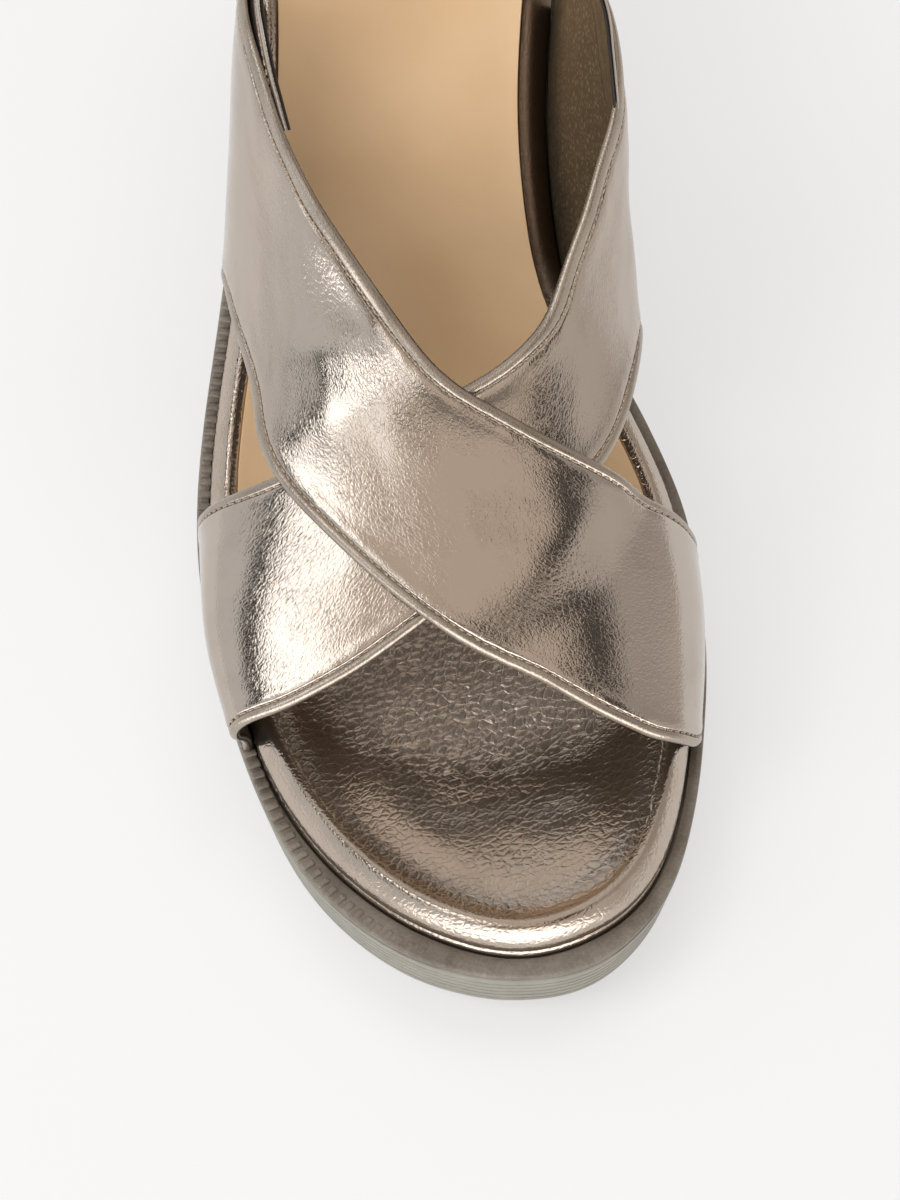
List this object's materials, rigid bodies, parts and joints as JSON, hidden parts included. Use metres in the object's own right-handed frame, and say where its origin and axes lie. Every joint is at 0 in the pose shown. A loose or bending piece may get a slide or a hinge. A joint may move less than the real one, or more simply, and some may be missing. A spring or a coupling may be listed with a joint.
{
  "type": "cross-strap heeled sandal",
  "caption": "Open-toe platform sandal for the right foot with two wide crossing straps, a sling strap behind the heel, a rimmed footbed and a block heel.",
  "frame": {"origin": "centre of the shoe's box, on the floor", "axes": "toe towards -Y, heel towards +Y, big toe side towards +X, up +Z"},
  "size_m": [0.0906, 0.2346, 0.1321],
  "materials": {
    "sole_rubber": "moulded, satin, grey taupe, fine lines round the side",
    "welt_strip": "matt dark brown, wheel notches",
    "heel_cover": "satin taupe block",
    "top_piece_rubber": "matt dark rubber",
    "footbed_leather": "pewter metallic foil leather, tumbled grain",
    "sock_leather": "smooth nude leather, satin",
    "strap_leather": "pewter metallic foil leather, fine grain, folded and stitched edges",
    "sling_leather": "pewter metallic foil leather, dark painted edge"
  },
  "bodies": {
    "root": {"outsole": "sole_rubber", "welt": "welt_strip", "heel_block": "heel_cover", "heel_top_piece": "top_piece_rubber", "footbed": "footbed_leather", "sock_lining": "sock_leather", "cross_straps": "strap_leather", "sling_strap": "sling_leather"}
  },
  "joints": []
}
